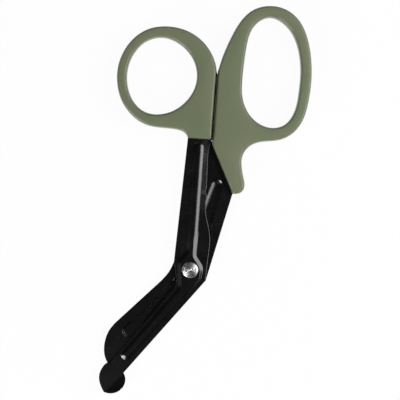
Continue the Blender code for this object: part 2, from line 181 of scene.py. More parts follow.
def rounded_polygon(corners, spacing):
    """Straight sides whose corners (x, y, radius) are arcs tangent to both, all of it evenly sampled."""
    centres = np.array([corner[:2] for corner in corners])
    outline = []
    comes, goes = np.roll(centres, 1, 0), np.roll(centres, -1, 0)
    for before, here, after, (_, _, radius) in zip(comes, centres, goes, corners):
        come, go = unit(here - before), unit(after - here)
        turn = math.atan2(come[0] * go[1] - come[1] * go[0], come @ go)
        inward = left_of(come) * math.copysign(1.0, turn)
        centre = here - come * radius * math.tan(abs(turn) / 2) + inward * radius
        angles = np.linspace(0, turn, max(3, round(abs(turn) * radius / spacing) + 1))[:, None]
        arc = centre - inward * radius * np.cos(angles) + left_of(-inward * radius) * np.sin(angles)
        if outline:
            outline.append(line(outline[-1][-1], arc[0], spacing)[1:-1])
        outline.append(arc)
    outline.append(line(outline[-1][-1], outline[0][0], spacing)[1:-1])
    return np.concatenate(outline)


def circle(radius, centre=(0.0, 0.0), steps=96):
    """Points round a circle, anticlockwise."""
    angles = np.arange(steps) * math.tau / steps
    return np.stack([np.cos(angles), np.sin(angles)], axis=1) * radius + np.asarray(centre)


plate = rounded_polygon(((0, 0, 1), (4, 0, 1), (4, 4, 1), (0, 4, 1)), 0.5)
print("a square plate with round corners takes", len(plate), "points, and a circle", len(circle(1.0)))

# %% [markdown]
# An inset moves a closed outline inwards by the same distance everywhere. It makes all the steps of an
# edge from one outline: a rounding, a bevel, the flank of a rib. Scaling the outline would be simpler,
# but it moves far points more than near ones. The mitre of a point's two sides keeps both parallel to
# where they were.

# %% Insets and joins


def inset(loop, distance):
    """A closed anticlockwise loop moved inwards: each point along the mitre of its two sides' normals.

    The mitre is (n1 + n2) / (1 + n1.n2), so both sides move by exactly the distance, which may differ from
    point to point.
    """
    before = left_of(unit(loop - np.roll(loop, 1, 0)))
    after = left_of(unit(np.roll(loop, -1, 0) - loop))
    mitre = (before + after) / (1 + np.sum(before * after, axis=1))[:, None]
    return loop + mitre * np.broadcast_to(distance, len(loop))[:, None]


def joined(*runs):
    """One closed outline from runs of points, each run's last point being the next run's first."""
    return np.concatenate([np.asarray(run, float)[:-1] for run in runs])


square = np.array([(0, 0), (1, 0), (1, 1), (0, 1)], float)
print("a unit square, inset by a quarter:", inset(square, 0.25).tolist())

# %% [markdown]
# ## From curves to a mesh
#
# A moulding or a pressing is a profile carried along an outline, plus the flat faces that it leaves open.
# The flat faces could be one big polygon each, but a polygon can't have holes. A triangulation can, if we
# drop the triangles that fall outside the outline or inside a hole. So we need to know what lies inside a
# loop, and, for faces that rise towards their middle, how far a point is from the edge.

# %% Inside and near


def within(points, loops):
    """Whether each point is inside an odd number of loops: how often a line to its right crosses them."""
    crossings = np.zeros(len(points), int)
    for loop in loops:
        one, two = loop, np.roll(loop, -1, 0)
        x, y = points[:, :1], points[:, 1:]
        straddles = (one[:, 1] > y) != (two[:, 1] > y)
        with np.errstate(divide="ignore", invalid="ignore"):
            share = (y - one[:, 1]) / (two[:, 1] - one[:, 1])
            beyond = one[:, 0] + share * (two[:, 0] - one[:, 0]) > x
        crossings += np.sum(straddles & beyond, axis=1)
    return crossings % 2 == 1


def nearest(points, loop):
    """How far each point is from the nearest of a loop's points."""
    return np.sqrt(((points[:, None, :] - loop[None, :, :]) ** 2).sum(axis=2).min(axis=1))


def lifted(plan, heights):
    """Plane points given their heights as a third coordinate."""
    return np.concatenate([plan, np.broadcast_to(heights, plan.shape[:-1])[..., None]], axis=-1)


print("is the middle of the square inside it, and a far point?",
      within(np.array([(0.5, 0.5), (2.0, 0.5)]), [square]).tolist())

# %% [markdown]
# The sides of a piece are easy: stack the outline at each step of the profile, and join neighbours with
# quads, which index arithmetic does for the whole grid at once. The flat faces are constrained Delaunay
# triangulations, which keep every side of the loops. Extra points inside let a face be slightly crowned.
# One small class gathers all this, and makes the object at the end.

# %% A shell of points and faces
MERGE = 1e-6
SLIVER = 1e-4
ALL_TRIANGLES = 0


class Shell:
    """The points and faces of one closed surface, with the value of some named attributes at each point."""

    def __init__(self, *attributes):
        self.points = np.zeros((0, 3))
        self.faces = []
        self.values = {name: np.zeros(0) for name in attributes}

    def add(self, points, **values):
        """Adds points of any grid shape and returns their indices in that shape."""
        points = np.asarray(points, float)
        start = len(self.points)
        count = points[..., 0].size
        self.points = np.concatenate([self.points, points.reshape(-1, 3)])
        for name, so_far in self.values.items():
            new = np.broadcast_to(values.get(name, 0.0), points.shape[:-1]).reshape(-1)
            self.values[name] = np.concatenate([so_far, new])
        return (start + np.arange(count)).reshape(points.shape[:-1])

    def quads(self, grid, around=True):
        """Faces between the rows of an index grid. Its columns close into rings unless around is false."""
        right = np.roll(grid, -1, axis=1) if around else grid[:, 1:]
        left = grid if around else grid[:, :-1]
        corners = np.stack([left[:-1], right[:-1], right[1:], left[1:]], axis=-1)
        self.faces += corners.reshape(-1, 4).tolist()

    def face(self, *loops, inside=None):
        """Fills the flat region between an outer loop of indices and the loops inside it.

        inside is an array of extra points (x, y, z) to go through, already clear of all the loops. Points
        closer than MERGE count as one. Triangles thinner than SLIVER lie along a straight side and outside
        it, so they are left out.
        """
        index = np.concatenate(loops)
        if inside is not None:
            index = np.concatenate([index, self.add(inside)])
        flat = self.points[index, :2]
        starts = np.cumsum([0] + [len(loop) for loop in loops])
        edges = np.concatenate([
            np.stack([start + np.arange(len(loop)), start + np.roll(np.arange(len(loop)), -1)], axis=1)
            for start, loop in zip(starts, loops)
        ])
        vectors = [Vector(p) for p in flat.tolist()]
        found = delaunay_2d_cdt(vectors, edges.tolist(), [], ALL_TRIANGLES, MERGE)
        spots, triangles = np.array([tuple(p) for p in found[0]]), np.array(found[2])
        origin = np.array([came[0] for came in found[3]])
        corners = spots[triangles]
        sides = np.roll(corners, -1, axis=1) - corners
        area = np.abs(sides[:, 0, 0] * sides[:, 1, 1] - sides[:, 0, 1] * sides[:, 1, 0])
        height = area / np.linalg.norm(sides, axis=2).max(axis=1)
        inner = within(corners.mean(axis=1), [flat[a:b] for a, b in zip(starts, starts[1:])])
        self.faces += index[origin[triangles[inner & (height > SLIVER)]]].tolist()

    def piece(self, name, crease):
        """The finished object, in metres, with faces outward and edges sharper than crease left crisp."""
        data = bpy.data.meshes.new(name)
        data.from_pydata((self.points * MM).tolist(), [], self.faces)
        for attribute, value in self.values.items():
            layer = data.attributes.new(attribute, "FLOAT", "POINT")
            layer.data.foreach_set("value", value.astype(np.float32))
        mesh = bmesh.new()
        mesh.from_mesh(data)
        bmesh.ops.recalc_face_normals(mesh, faces=mesh.faces)
        bmesh.ops.delete(mesh, geom=[v for v in mesh.verts if not v.link_faces], context="VERTS")
        open_edges = sum(not edge.is_manifold for edge in mesh.edges)
        mesh.to_mesh(data)
        mesh.free()
        data.shade_smooth()
        data.set_sharp_from_angle(angle=crease)
        thing = bpy.data.objects.new(name, data)
        bpy.context.scene.collection.objects.link(thing)
        print(name, len(data.polygons), "faces,", open_edges, "open edges")
        return thing


trial = Shell()
trial.face(trial.add(lifted(circle(2.0), 0.0)), trial.add(lifted(circle(1.0), 0.0)))
print("a flat ring with 96 points on each side takes", len(trial.faces), "triangles")

# %% [markdown]
# ## The moulded handles
#
# Each handle is a slab with a hole, moulded round its blade's tang: a round hole for the thumb and a long
# one for the fingers. Both outlines run anticlockwise, over a straight seam where the handles meet, a
# smooth back, and a straight mouth where the blade comes out.
#
# Straight runs are sampled more widely than curves. An inset moves a corner's point along both its sides,
# and it has to stay short of their next samples.

# %% The thumb handle's outline
HANDLE_SPACING = 0.6
STRAIGHT_SPACING = 1.2
THUMB_MOUTH = ((-1.1, 59.6), (9.8, 58.9))
THUMB_SEAM_TOP = (12.07, 88.7)
THUMB_BACK = (
    THUMB_SEAM_TOP, (11.95, 91.0), (9.6, 98.4), (5.6, 103.8), (-3.2, 109.2), (-11.6, 110.5),
    (-19.4, 109.1), (-25.3, 105.4), (-30.2, 99.2), (-33.0, 91.2), (-33.1, 84.0), (-31.2, 76.8),
    (-27.9, 71.6), (-20.2, 65.9), (-14.4, 64.6), (-7.6, 63.9), (-3.8, 62.9), (-1.8, 61.3), THUMB_MOUTH[0],
)
THUMB_HOLE = (
    (-11.9, 105.3), (-19.6, 103.8), (-25.2, 98.5), (-28.3, 91.0), (-28.2, 82.6), (-25.2, 75.7),
    (-20.3, 71.6), (-13.0, 70.7), (-6.4, 72.9), (-1.6, 76.8), (2.0, 82.6), (2.9, 89.9), (0.1, 97.4),
    (-5.3, 102.7),
)

thumb_seam = line(THUMB_MOUTH[1], THUMB_SEAM_TOP, STRAIGHT_SPACING)
thumb_back = spline(THUMB_BACK, HANDLE_SPACING)
thumb_outline = joined(thumb_seam, thumb_back, line(*THUMB_MOUTH, STRAIGHT_SPACING))
print("the thumb handle's outline has", len(thumb_outline), "points")

# %% [markdown]
# The finger handle's mouth slants, because its blade leaves it at an angle, and below the long hole it
# ends in a horn that keeps the last finger off the blade.

# %% The finger handle's outline
FINGER_MOUTH = ((10.2, 56.1), (19.2, 34.4))
FINGER_SEAM = ((12.48, 89.7), (10.2, 58.8))
FINGER_BACK = (
    FINGER_MOUTH[1], (21.4, 34.4), (23.9, 35.9), (24.7, 38.4), (24.2, 41.8), (23.5, 46.0), (23.4, 49.9),
    (24.4, 53.0), (27.4, 56.3), (32.2, 58.0), (38.9, 58.6), (43.6, 60.0), (47.9, 63.1), (51.3, 68.1),
    (53.6, 75.6), (55.0, 85.0), (55.1, 93.4), (53.5, 104.2), (49.4, 113.2), (43.4, 118.1), (35.9, 119.7),
    (28.6, 117.9), (23.0, 112.9), (18.4, 105.2), (14.6, 96.5), FINGER_SEAM[0],
)
FINGER_HOLE = (
    (36.4, 114.4), (29.2, 110.6), (25.6, 101.0), (23.7, 85.8), (23.8, 78.2), (26.4, 71.2), (31.6, 66.1),
    (37.4, 64.4), (42.4, 65.6), (46.8, 70.8), (49.2, 80.4), (50.0, 89.4), (49.1, 99.2), (46.4, 106.8),
    (42.0, 112.0),
)

finger_back = spline(FINGER_BACK, HANDLE_SPACING)
finger_seam = line(*FINGER_SEAM, STRAIGHT_SPACING)
finger_shoulder = line(finger_seam[-1], FINGER_MOUTH[0], STRAIGHT_SPACING)
finger_mouth = line(*FINGER_MOUTH, STRAIGHT_SPACING)
finger_outline = joined(finger_back, finger_seam, finger_shoulder, finger_mouth)
print("the finger handle's outline has", len(finger_outline), "points")

# %% [markdown]
# The edges are rounded so that they don't cut into the hand, and the walls lean in a little from
# mid-height, the draft that lets the handle leave its mould. Where the two handles meet they stand
# slightly back from each other and touch only along a low band at mid-height, so from above the seam is a
# narrow black slot.
#
# One could bevel a cut-out slab with a modifier. Carrying a profile round the outline gives more control:
# the rounding is an ellipse, taller than it is wide, and it fades to a smaller one where the handle meets
# its blade. The profile is a list of steps up the wall, each with a distance inwards and a height. Both
# may differ at each point of the outline, so each is an array with a row for each step and a column for
# each point.

# %% The handles' walls
OUTER_ROUND = 1.0
HOLE_ROUND = 1.1
MEETING_ROUND = 0.5
ROUND_ASPECT = 1.3
ROUND_ROWS = 9
OUTER_DRAFT = 0.22
HOLE_DRAFT = 0.15
SEAM_BACK = 0.36
LIP_HEIGHTS = (-0.7, -0.5, 0.5, 0.7)
CROWN = 0.22


def handle_wall(closeness, full_round, draft, seam_share, lip):
    """Inward distances and heights up a handle's wall, each as an array of rows by points.

    The two roundings are quarter ellipses, full_round wide where closeness is 0 and MEETING_ROUND where it
    is 1. Between them the wall leans by the draft. Where seam_share is 1 it stands back, apart from a band
    at mid-height that comes forward by the distance that lip gives.
    """
    width = full_round + (MEETING_ROUND - full_round) * closeness
    turn = np.linspace(0, math.pi / 2, ROUND_ROWS)[:, None]
    low_in, low_up = (1 - np.sin(turn)) * width, (1 - np.cos(turn)) * width * ROUND_ASPECT
    back = draft + (SEAM_BACK - draft) * seam_share
    root = SEAM_BACK * seam_share
    lip_up = HANDLE_TOP / 2 + np.array(LIP_HEIGHTS)[:, None] + 0 * width
    inwards = np.concatenate([low_in + back, [root, -lip, -lip, root], low_in[::-1] + back])
    heights = np.concatenate([low_up, lip_up, (HANDLE_TOP - low_up)[::-1]])
    return inwards, heights * (1 - 2 * CROWN / HANDLE_TOP) + CROWN


wall_up = handle_wall(*np.zeros((5, 1)))[1]
print("a wall has", len(wall_up), "steps, from", wall_up.min(), "to", wall_up.max().round(2), "mm")

# %% [markdown]
# Plastic shrinks as it cools, and tools are made slightly hollow for it, so that a moulding's broad faces
# come out flat or gently domed. A dome of a fifth of a millimetre is enough to keep the light on a face
# from being all one tone. The handle is then two walls, one round the outline and one round the hole, and
# two crowned faces between them. An attribute says how far up its rounding a point is, for the finish to
# use.

# %% Build a handle
CROWN_WIDTH = 5.0
FACE_SPACING = 1.3
FACE_MARGIN = 0.6 * FACE_SPACING
BLEND = 6.0
HANDLE_CREASE = math.radians(50)


def crowned(loops, base, sign):
    """Points in staggered rows over a flat face, raised towards its middle.

    The rise is a parabola of the distance to the nearest edge, which reaches CROWN at CROWN_WIDTH.
    """
    low, high = loops[0].min(axis=0), loops[0].max(axis=0)
    across = np.arange(low[0], high[0], FACE_SPACING)
    along = np.arange(low[1], high[1], FACE_SPACING)
    spots = np.stack(np.meshgrid(across, along), axis=-1)
    spots[1::2, :, 0] += FACE_SPACING / 2
    spots = spots.reshape(-1, 2)
    spots = spots[within(spots, loops)]
    away = nearest(spots, np.concatenate(loops))
    spots, away = spots[away > FACE_MARGIN], away[away > FACE_MARGIN]
    rise = 1 - (1 - np.clip(away / CROWN_WIDTH, 0, 1)) ** 2
    return lifted(spots, base + sign * CROWN * rise)


def handle(name, outline, hole, mouth, seam, lip):
    """A moulded handle as one closed surface.

    closeness is 1 at the mouth and falls softly to 0 at BLEND from it, and seam_share is 1 on the seam and
    0 a millimetre away. The attribute edge is 0 on the two faces, rises row by row through the roundings
    and is 1 on the walls.
    """
    shell = Shell("edge")
    closeness = 1 - smooth(nearest(outline, mouth) / BLEND)
    seam_share = 1 - smooth(nearest(outline, seam))
    none = np.zeros(len(hole))
    rims = []
    for loop, wall, way in (
        (outline, handle_wall(closeness, OUTER_ROUND, OUTER_DRAFT, seam_share, lip * seam_share), 1),
        (hole, handle_wall(none, HOLE_ROUND, HOLE_DRAFT, none, none), -1),
    ):
        inwards, heights = wall
        rows = np.stack([inset(loop, way * step) for step in inwards])
        edge = np.minimum(np.arange(len(heights)) / (ROUND_ROWS - 1), 1)
        edge = np.minimum(edge, edge[::-1])[:, None] + 0 * heights
        grid = shell.add(lifted(rows, heights), edge=edge)
        shell.quads(grid)
        rims.append((grid[0], grid[-1]))
    for which, base, sign in ((0, CROWN, -1), (1, HANDLE_TOP - CROWN, 1)):
        loops = [rim[which] for rim in rims]
        flat = [shell.points[loop, :2] for loop in loops]
        shell.face(*loops, inside=crowned(flat, base, sign))
    return shell.piece(name, HANDLE_CREASE)


# %% [markdown]
# Only the thumb handle has the low band, and it reaches just short of the other handle's wall. The two
# seams aren't quite parallel, so the distance between them is measured at each point.

# %% Make the handles
LIP_GAP = 0.02

finger_side = left_of(unit(np.subtract(*FINGER_SEAM[::-1])))
seam_gap = (FINGER_SEAM[0] - thumb_outline) @ finger_side
thumb = handle(
    "thumb_handle_moulding", thumb_outline, closed_spline(THUMB_HOLE, HANDLE_SPACING),
    line(*THUMB_MOUTH, HANDLE_SPACING), thumb_seam, seam_gap - LIP_GAP,
)
finger = handle(
    "finger_handle_moulding", finger_outline, closed_spline(FINGER_HOLE, HANDLE_SPACING),
    line(*FINGER_MOUTH, HANDLE_SPACING), finger_seam[:-1], np.zeros(len(finger_outline)),
)
print("the seam's gap in mm at its two ends:", seam_gap[[0, len(thumb_seam) - 1]].round(3))

# %% [markdown]
# ## Sockets
#
# Each handle is moulded round its blade's tang, so a slot as thick as the sheet runs in from its mouth,
# with a pin of plastic left standing where it flowed through the tang's hole. The slot is square and
# meets curved walls, which no profile along the outline can give. Here a solid of the slot's shape is cut
# away, and then removed.

# %% Cut the sockets
FRONT_TANG = ((7.7, 58.73), (8.2, 75.0), (3.6, 75.6), (1.4, 59.14))
FRONT_KEY = (5.4, 68.5)
REAR_TANG = ((16.75, 39.72), (21.4, 62.5), (15.4, 64.3), (11.96, 51.65))
REAR_KEY = (17.4, 57.4)
KEY_STEPS = 48
SOCKET_GAP = 0.03
SOCKET_REACH = 4.0
PIN_RADIUS = 1.3


def cut_socket(thing, tang, key, side):
    """Takes from a handle the room of its tang: the tang's plan, a little larger, run out at the mouth."""
    right, top_right, top_left, left = np.array(tang)
    right = right + unit(right - top_right) * SOCKET_REACH
    left = left + unit(left - top_left) * SOCKET_REACH
    plan = inset(np.array((right, top_right, top_left, left)), -SOCKET_GAP)
    near, far = BLADE_GAP / 2 - SOCKET_GAP, BLADE_GAP / 2 + SHEET + SOCKET_GAP
    slot = Shell()
    rings = [
        [slot.add(lifted(loop, CONTACT + side * up)) for up in (near, far)]
        for loop in (plan, circle(PIN_RADIUS, key, KEY_STEPS))
    ]
    for low, high in rings:
        slot.quads(np.stack([low, high]))
    for outer, pin in zip(*rings):
        slot.face(outer, pin)
    cutter = slot.piece(thing.name + "_socket", HANDLE_CREASE)
    cut = thing.modifiers.new("socket", "BOOLEAN")
    cut.operation = "DIFFERENCE"
    cut.solver = "EXACT"
    cut.object = cutter
    evaluated = thing.evaluated_get(bpy.context.evaluated_depsgraph_get())
    cut_mesh = bpy.data.meshes.new_from_object(evaluated)
    thing.modifiers.clear()
    thing.data = cut_mesh
    cut_mesh.set_sharp_from_angle(angle=HANDLE_CREASE)
    bpy.data.objects.remove(cutter)
    print(thing.name, "with its socket:", len(cut_mesh.polygons), "faces")


cut_socket(thumb, FRONT_TANG, FRONT_KEY, 1)
cut_socket(finger, REAR_TANG, REAR_KEY, -1)

# %% [markdown]
# ## The pressed blades
#
# A blade is blanked from sheet and pressed between two dies. The front one's blank starts at its tang,
# runs down a straight shank, turns at the heel into the cutting edge, and ends in a round tip. There the
# sheet will be folded down along a slanting line, so the outline crosses to the blade's straight spine
# along that line.
#
# Its edge is serrated to hold cloth. Each tooth is a small hollow, ground in with the corner of a wheel.
# The edge is sampled so that every tooth has the same few points.

# %% The front blade's outline
BLADE_SPACING = 0.45
SIDE_SPACING = 0.7
TOOTH_PITCH = 0.6
TOOTH_SAMPLES = 6
FRONT_SHOULDERS = ((7.72, 59.0), (1.42, 59.4))
FRONT_SHANK_LEFT = ((-1.1, 59.56), (-7.42, 3.5))
FRONT_HEEL = (FRONT_SHANK_LEFT[-1], (-6.7, -0.4), (-6.3, -4.2), (-6.6, -7.2), (-7.9, -8.5))
FRONT_TIP = (
    (-36.8, -41.9), (-38.3, -42.5), (-39.9, -44.3), (-41.2, -47.2), (-41.3, -50.0), (-40.2, -53.6),
    (-39.35, -55.25),
)
FOLD_START = (-30.2, -46.63)
FRONT_SHANK_RIGHT = (
    (7.0, -4.9), (7.3, -1.4), (7.9, 3.6), (8.7, 9.6), (9.0, 15.2), (8.2, 20.2), (7.2, 25.2), (7.1, 30.4),
)
FRONT_NECK = (FRONT_SHANK_RIGHT[-1], (7.6, 33.4), (6.8, 35.2), (7.5, 37.1), (8.1, 52.0), (9.5, 58.88))


def run(points):
    """Straight sides through the points, sampled so widely that an inset corner passes no sample."""
    sides = [line(a, b, SIDE_SPACING)[:-1] for a, b in zip(points, points[1:])]
    return np.concatenate([*sides, [points[-1]]])


heel_end, edge_end = np.array(FRONT_HEEL[-1]), np.array(FRONT_TIP[0])
cut_length = np.linalg.norm(edge_end - heel_end)
teeth = round(cut_length / TOOTH_PITCH)
front_runs = (
    run((*FRONT_TANG[1:3], FRONT_SHOULDERS[1], *FRONT_SHANK_LEFT)),
    spline(FRONT_HEEL, BLADE_SPACING),
    np.linspace(heel_end, edge_end, teeth * TOOTH_SAMPLES + 1),
    spline(FRONT_TIP, BLADE_SPACING),
    line(FRONT_TIP[-1], FOLD_START, BLADE_SPACING),
    line(FOLD_START, FRONT_SHANK_RIGHT[0], BLADE_SPACING),
    spline(FRONT_SHANK_RIGHT, BLADE_SPACING),
    run((*FRONT_NECK, FRONT_SHOULDERS[0], FRONT_TANG[1])),
)
front_starts = np.cumsum([0] + [len(one) - 1 for one in front_runs])
front_outline = joined(*front_runs)
print("cutting edge", round(cut_length, 1), "mm with", teeth, "teeth, in an outline of", len(front_outline))

# %% [markdown]
# The rear blade's edge is plain and lies hidden behind the front one's, parallel to it. Its back bulges
# out below the pivot, where the jaw is broadest, and its nose is round.

# %% The rear blade's outline
OVERLAP = 2.2
REAR_PAST_TIP = 0.6
REAR_BEFORE_HEEL = 1.0
REAR_SHOULDERS = ((16.99, 39.82), (12.2, 51.75))
REAR_SHANK_LEFT = ((10.15, 56.7), (10.15, 58.45), (6.4, 58.45), (4.4, 51.6), (1.2, 24.0))
REAR_BACK = (REAR_SHANK_LEFT[-1], (-2.2, 14.6), (-5.4, 8.4), (-7.5, 3.5), (-9.7, -0.9), (-13.0, -4.8))
REAR_NOSE = ((-34.4, -24.4), (-36.9, -27.6), (-38.6, -31.7), (-39.2, -36.0), (-38.5, -40.4), (-37.2, -43.0))
REAR_TOE = ((-3.6, -10.4), (0.8, -9.3), (4.6, -7.0), (7.05, -4.9))
REAR_SHANK_RIGHT = (REAR_TOE[-1], (19.18, 34.38))

edge_way = unit(edge_end - heel_end)
rear_tip = edge_end + left_of(edge_way) * OVERLAP + edge_way * REAR_PAST_TIP
rear_heel = heel_end + left_of(edge_way) * OVERLAP + edge_way * REAR_BEFORE_HEEL
rear_runs = (
    run((*REAR_TANG[1:3], REAR_SHOULDERS[1], *REAR_SHANK_LEFT)),
    spline(REAR_BACK, BLADE_SPACING),
    line(REAR_BACK[-1], REAR_NOSE[0], BLADE_SPACING),
    spline(REAR_NOSE, BLADE_SPACING),
    line(REAR_NOSE[-1], rear_tip, BLADE_SPACING),
    line(rear_tip, rear_heel, BLADE_SPACING),
    spline((rear_heel, *REAR_TOE), BLADE_SPACING),
    run((*REAR_SHANK_RIGHT, REAR_SHOULDERS[0], REAR_TANG[1])),
)
rear_starts = np.cumsum([0] + [len(one) - 1 for one in rear_runs])
rear_outline = joined(*rear_runs)
print("the rear blade's outline has", len(rear_outline), "points")

# %% [markdown]
# A rib is raised all along each blade, which makes thin sheet stiff. It bends with the blade at the
# pivot, where it widens into a boss for the rivet. Its flank is an S curve, since sheet steel can't bend
# sharply. The front rib is nearly half round along the shank and flat-topped on the jaw. The rear blade
# is pressed the other way, so that from above one looks into the hollow of its rib, which is shaped like
# a bowl.

# %% The ribs
FRONT_RIB = (
    (6.6, 58.0, 2.4), (1.4, 58.2, 2.4), (-1.8, 8.6, 3.0), (-6.1, 4.2, 3.0), (-5.6, -7.9, 2.5),
    (-32.7, -38.9, 2.3), (-28.5, -42.0, 2.3), (4.9, -4.6, 3.5), (6.2, 1.2, 4.6), (2.9, 6.4, 1.5),
)
REAR_RIB = (
    (15.2, 40.6, 2.4), (10.4, 41.6, 2.4), (-1.7, 9.2, 3.0), (-6.2, -2.2, 4.0), (-16.9, -13.6, 12.0),
    (-31.9, -27.5, 2.4), (-27.7, -32.6, 2.4), (-7.9, -9.7, 2.0), (2.2, -6.8, 4.5), (6.3, -0.8, 4.5),
)
RIB_SPACING = 0.45
ROUND_FLANK = 2.3
FLANK_ROWS = 14
FILLET = 0.2
BOWL_POWER = 2.5
BOWL_SLOPE = 0.26
BOWL_END = 0.15
SLOPE_SAMPLES = 201


def summed(slope, share):
    """The height at a share of the way up an evenly sampled slope: its running sum, scaled to end at 1."""
    return np.interp(share, np.linspace(0, 1, len(slope)), np.cumsum(slope) / slope.sum())


def flank(share, flat_width, roundness, bowl):
    """The rib's side: inward distance, and share of its height, at a share of the way to its crest.

    Where roundness is 0 the rib has a flat top, and its slope is constant but for a fillet at each end.
    Where it is 1 the rib is half round: the height follows a circle through the crest. With bowl the slope
    is instead a power of the share left to the crest, plus a small slope that lasts nearly to it.
    """
    width = flat_width + (ROUND_FLANK - flat_width) * roundness
    left = 1 - np.linspace(0, 1, SLOPE_SAMPLES)
    ramp = summed(smooth((1 - left) / FILLET) * smooth(left / FILLET), share)
    if bowl:
        arc = summed((left**BOWL_POWER + BOWL_SLOPE) * smooth(left / BOWL_END), share)
    else:
        bend = 2 * EMBOSS * width / (width**2 + EMBOSS**2)
        foot = np.sqrt(1 - bend**2)
        arc = (np.sqrt(1 - (bend * (1 - share)) ** 2) - foot) / (1 - foot)
    return share * width, ramp + (arc - ramp) * roundness


front_rib, rear_rib = (rounded_polygon(rib, RIB_SPACING) for rib in (FRONT_RIB, REAR_RIB))
print("halfway up a half round flank the rib has", flank(0.5, 0.0, 1.0, False)[1].round(2), "of its height")

# %% [markdown]
# The sheet's edge shows how it was made. The die draws it over a little on the punch side, so most of it
# is rolled. The cutting edge is ground to a slightly hollow bevel above a thin flat land, and the teeth
# are deepest at the very edge and gone partway up the bevel.

# %% The sheet's edge
GUARD = 0.07
INNER_BREAK = 0.06
LOW_ROWS = 3
ROLL = 0.26
ROLL_DROP = 0.22
ROLL_ROWS = 6
GRIND_WIDTH = 0.5
GRIND_LAND = 0.25
HOLLOW = 0.06
NOTCH_FADE = 1.6


def edge_section(grind, notch, sag):
    """Inward distances and heights above the inner face, up the sheet's edge, as rows by points.

    Where grind is 0 the edge is rolled over at the top, on a quarter ellipse. Where it is 1, a thin land
    carries a bevel that a parabola hollows out, and each tooth's notch fades out in a straight line on the
    way up. sag is how much lower the outer face lies at the edge than at the rib. A first and a last row on
    the flat faces guard their shading from the bend.
    """
    turn = np.linspace(0, math.pi / 2, ROLL_ROWS)[:, None]
    rise = np.linspace(0, 1, ROLL_ROWS)[:, None]
    none = 0 * grind
    low_in = np.stack([none + GUARD, INNER_BREAK * (1 - grind), none])
    low_up = np.stack([none, none, none + INNER_BREAK])
    rolled_in = (1 - np.cos(turn)) * ROLL + none
    rolled_up = SHEET - ROLL_DROP * (1 - np.sin(turn)) - sag
    ground_up = GRIND_LAND + (SHEET - GRIND_LAND) * rise - 4 * HOLLOW * rise * (1 - rise)
    side_in = rolled_in + (rise * GRIND_WIDTH - rolled_in) * grind
    side_up = rolled_up + (ground_up - rolled_up) * grind
    fade = np.concatenate([np.ones((LOW_ROWS, 1)), np.clip(1 - NOTCH_FADE * rise, 0, 1), [[0.0]]])
    inwards = np.concatenate([low_in, side_in, side_in[-1:] + GUARD])
    ups = np.concatenate([low_up, side_up, side_up[-1:]])
    return inwards + fade * notch, ups


rolled = edge_section(*np.zeros((3, 1)))
print("a rolled edge in", len(rolled[0]), "steps ends", rolled[0][-1, 0].round(2), "mm in on the outer face")

# %% [markdown]
# ## The folded tab
#
# At the tip the sheet is folded down along the slanting line, and the fold's free end is a segment of a
# circle. On the real object this gives the blunt toe that rides along the skin. A bend modifier would
# bend the rib as well. We work on the unfolded sheet, where the tab's edge is a plain arc with the same
# rolled section as the rest, and then wrap that sheet: an arc about an axis below it, then straight on.

# %% Wrap a sheet over a fold
FOLD_ANGLE = math.radians(30)
FOLD_INNER = 0.4
FOLD_ARC = FOLD_ANGLE * (FOLD_INNER + SHEET / 2)
TAB_DEPTH = 4.9


def wrap(beyond, depth):
    """Folds the sheet: (distance past the fold line, height) of points beyond it on the flat sheet."""
    angle = np.clip(beyond / FOLD_ARC, 0, 1) * FOLD_ANGLE
    straight = np.maximum(beyond - FOLD_ARC, 0)
    reach = FOLD_INNER + depth
    out = reach * np.sin(angle) + straight * math.cos(FOLD_ANGLE) + np.minimum(beyond, 0)
    return out, reach * np.cos(angle) - FOLD_INNER - straight * math.sin(FOLD_ANGLE)


def fold_frame(outline, first, last):
    """Middle of the fold line, its direction, the one across it, half its length, and the tab's radius."""
    one, two = outline[first], outline[last]
    along = unit(two - one)
    half = np.linalg.norm(two - one) / 2
    return (one + two) / 2, along, -left_of(along), half, (half**2 + TAB_DEPTH**2) / (2 * TAB_DEPTH)


def fold_mitres(outline, first, last):
    """Mitres at the fold's two ends, between the outline and the tab's arc."""
    _, along, across, half, radius = fold_frame(outline, first, last)
    swing = math.asin(half / radius)
    leaves = along * math.cos(swing) + across * math.sin(swing)
    returns = along * math.cos(swing) - across * math.sin(swing)
    pairs = (
        (unit(outline[first] - outline[first - 1]), leaves),
        (returns, unit(outline[(last + 1) % len(outline)] - outline[last])),
    )
    return [(left_of(a) + left_of(b)) / (1 + left_of(a) @ left_of(b)) for a, b in pairs]


print("3 mm past the fold the outer face has dropped", round(float(SHEET - wrap(3.0, SHEET)[1]), 2), "mm")

# %% [markdown]
# Each row of the tab is one full turn round its cross-section, from the fold line out to the tip of the
# segment: up one rolled side, across the outer face, down the other side and back across the inner face.

# %% Grow the tab
TAB_ROWS = 20
TAB_END = math.radians(3)


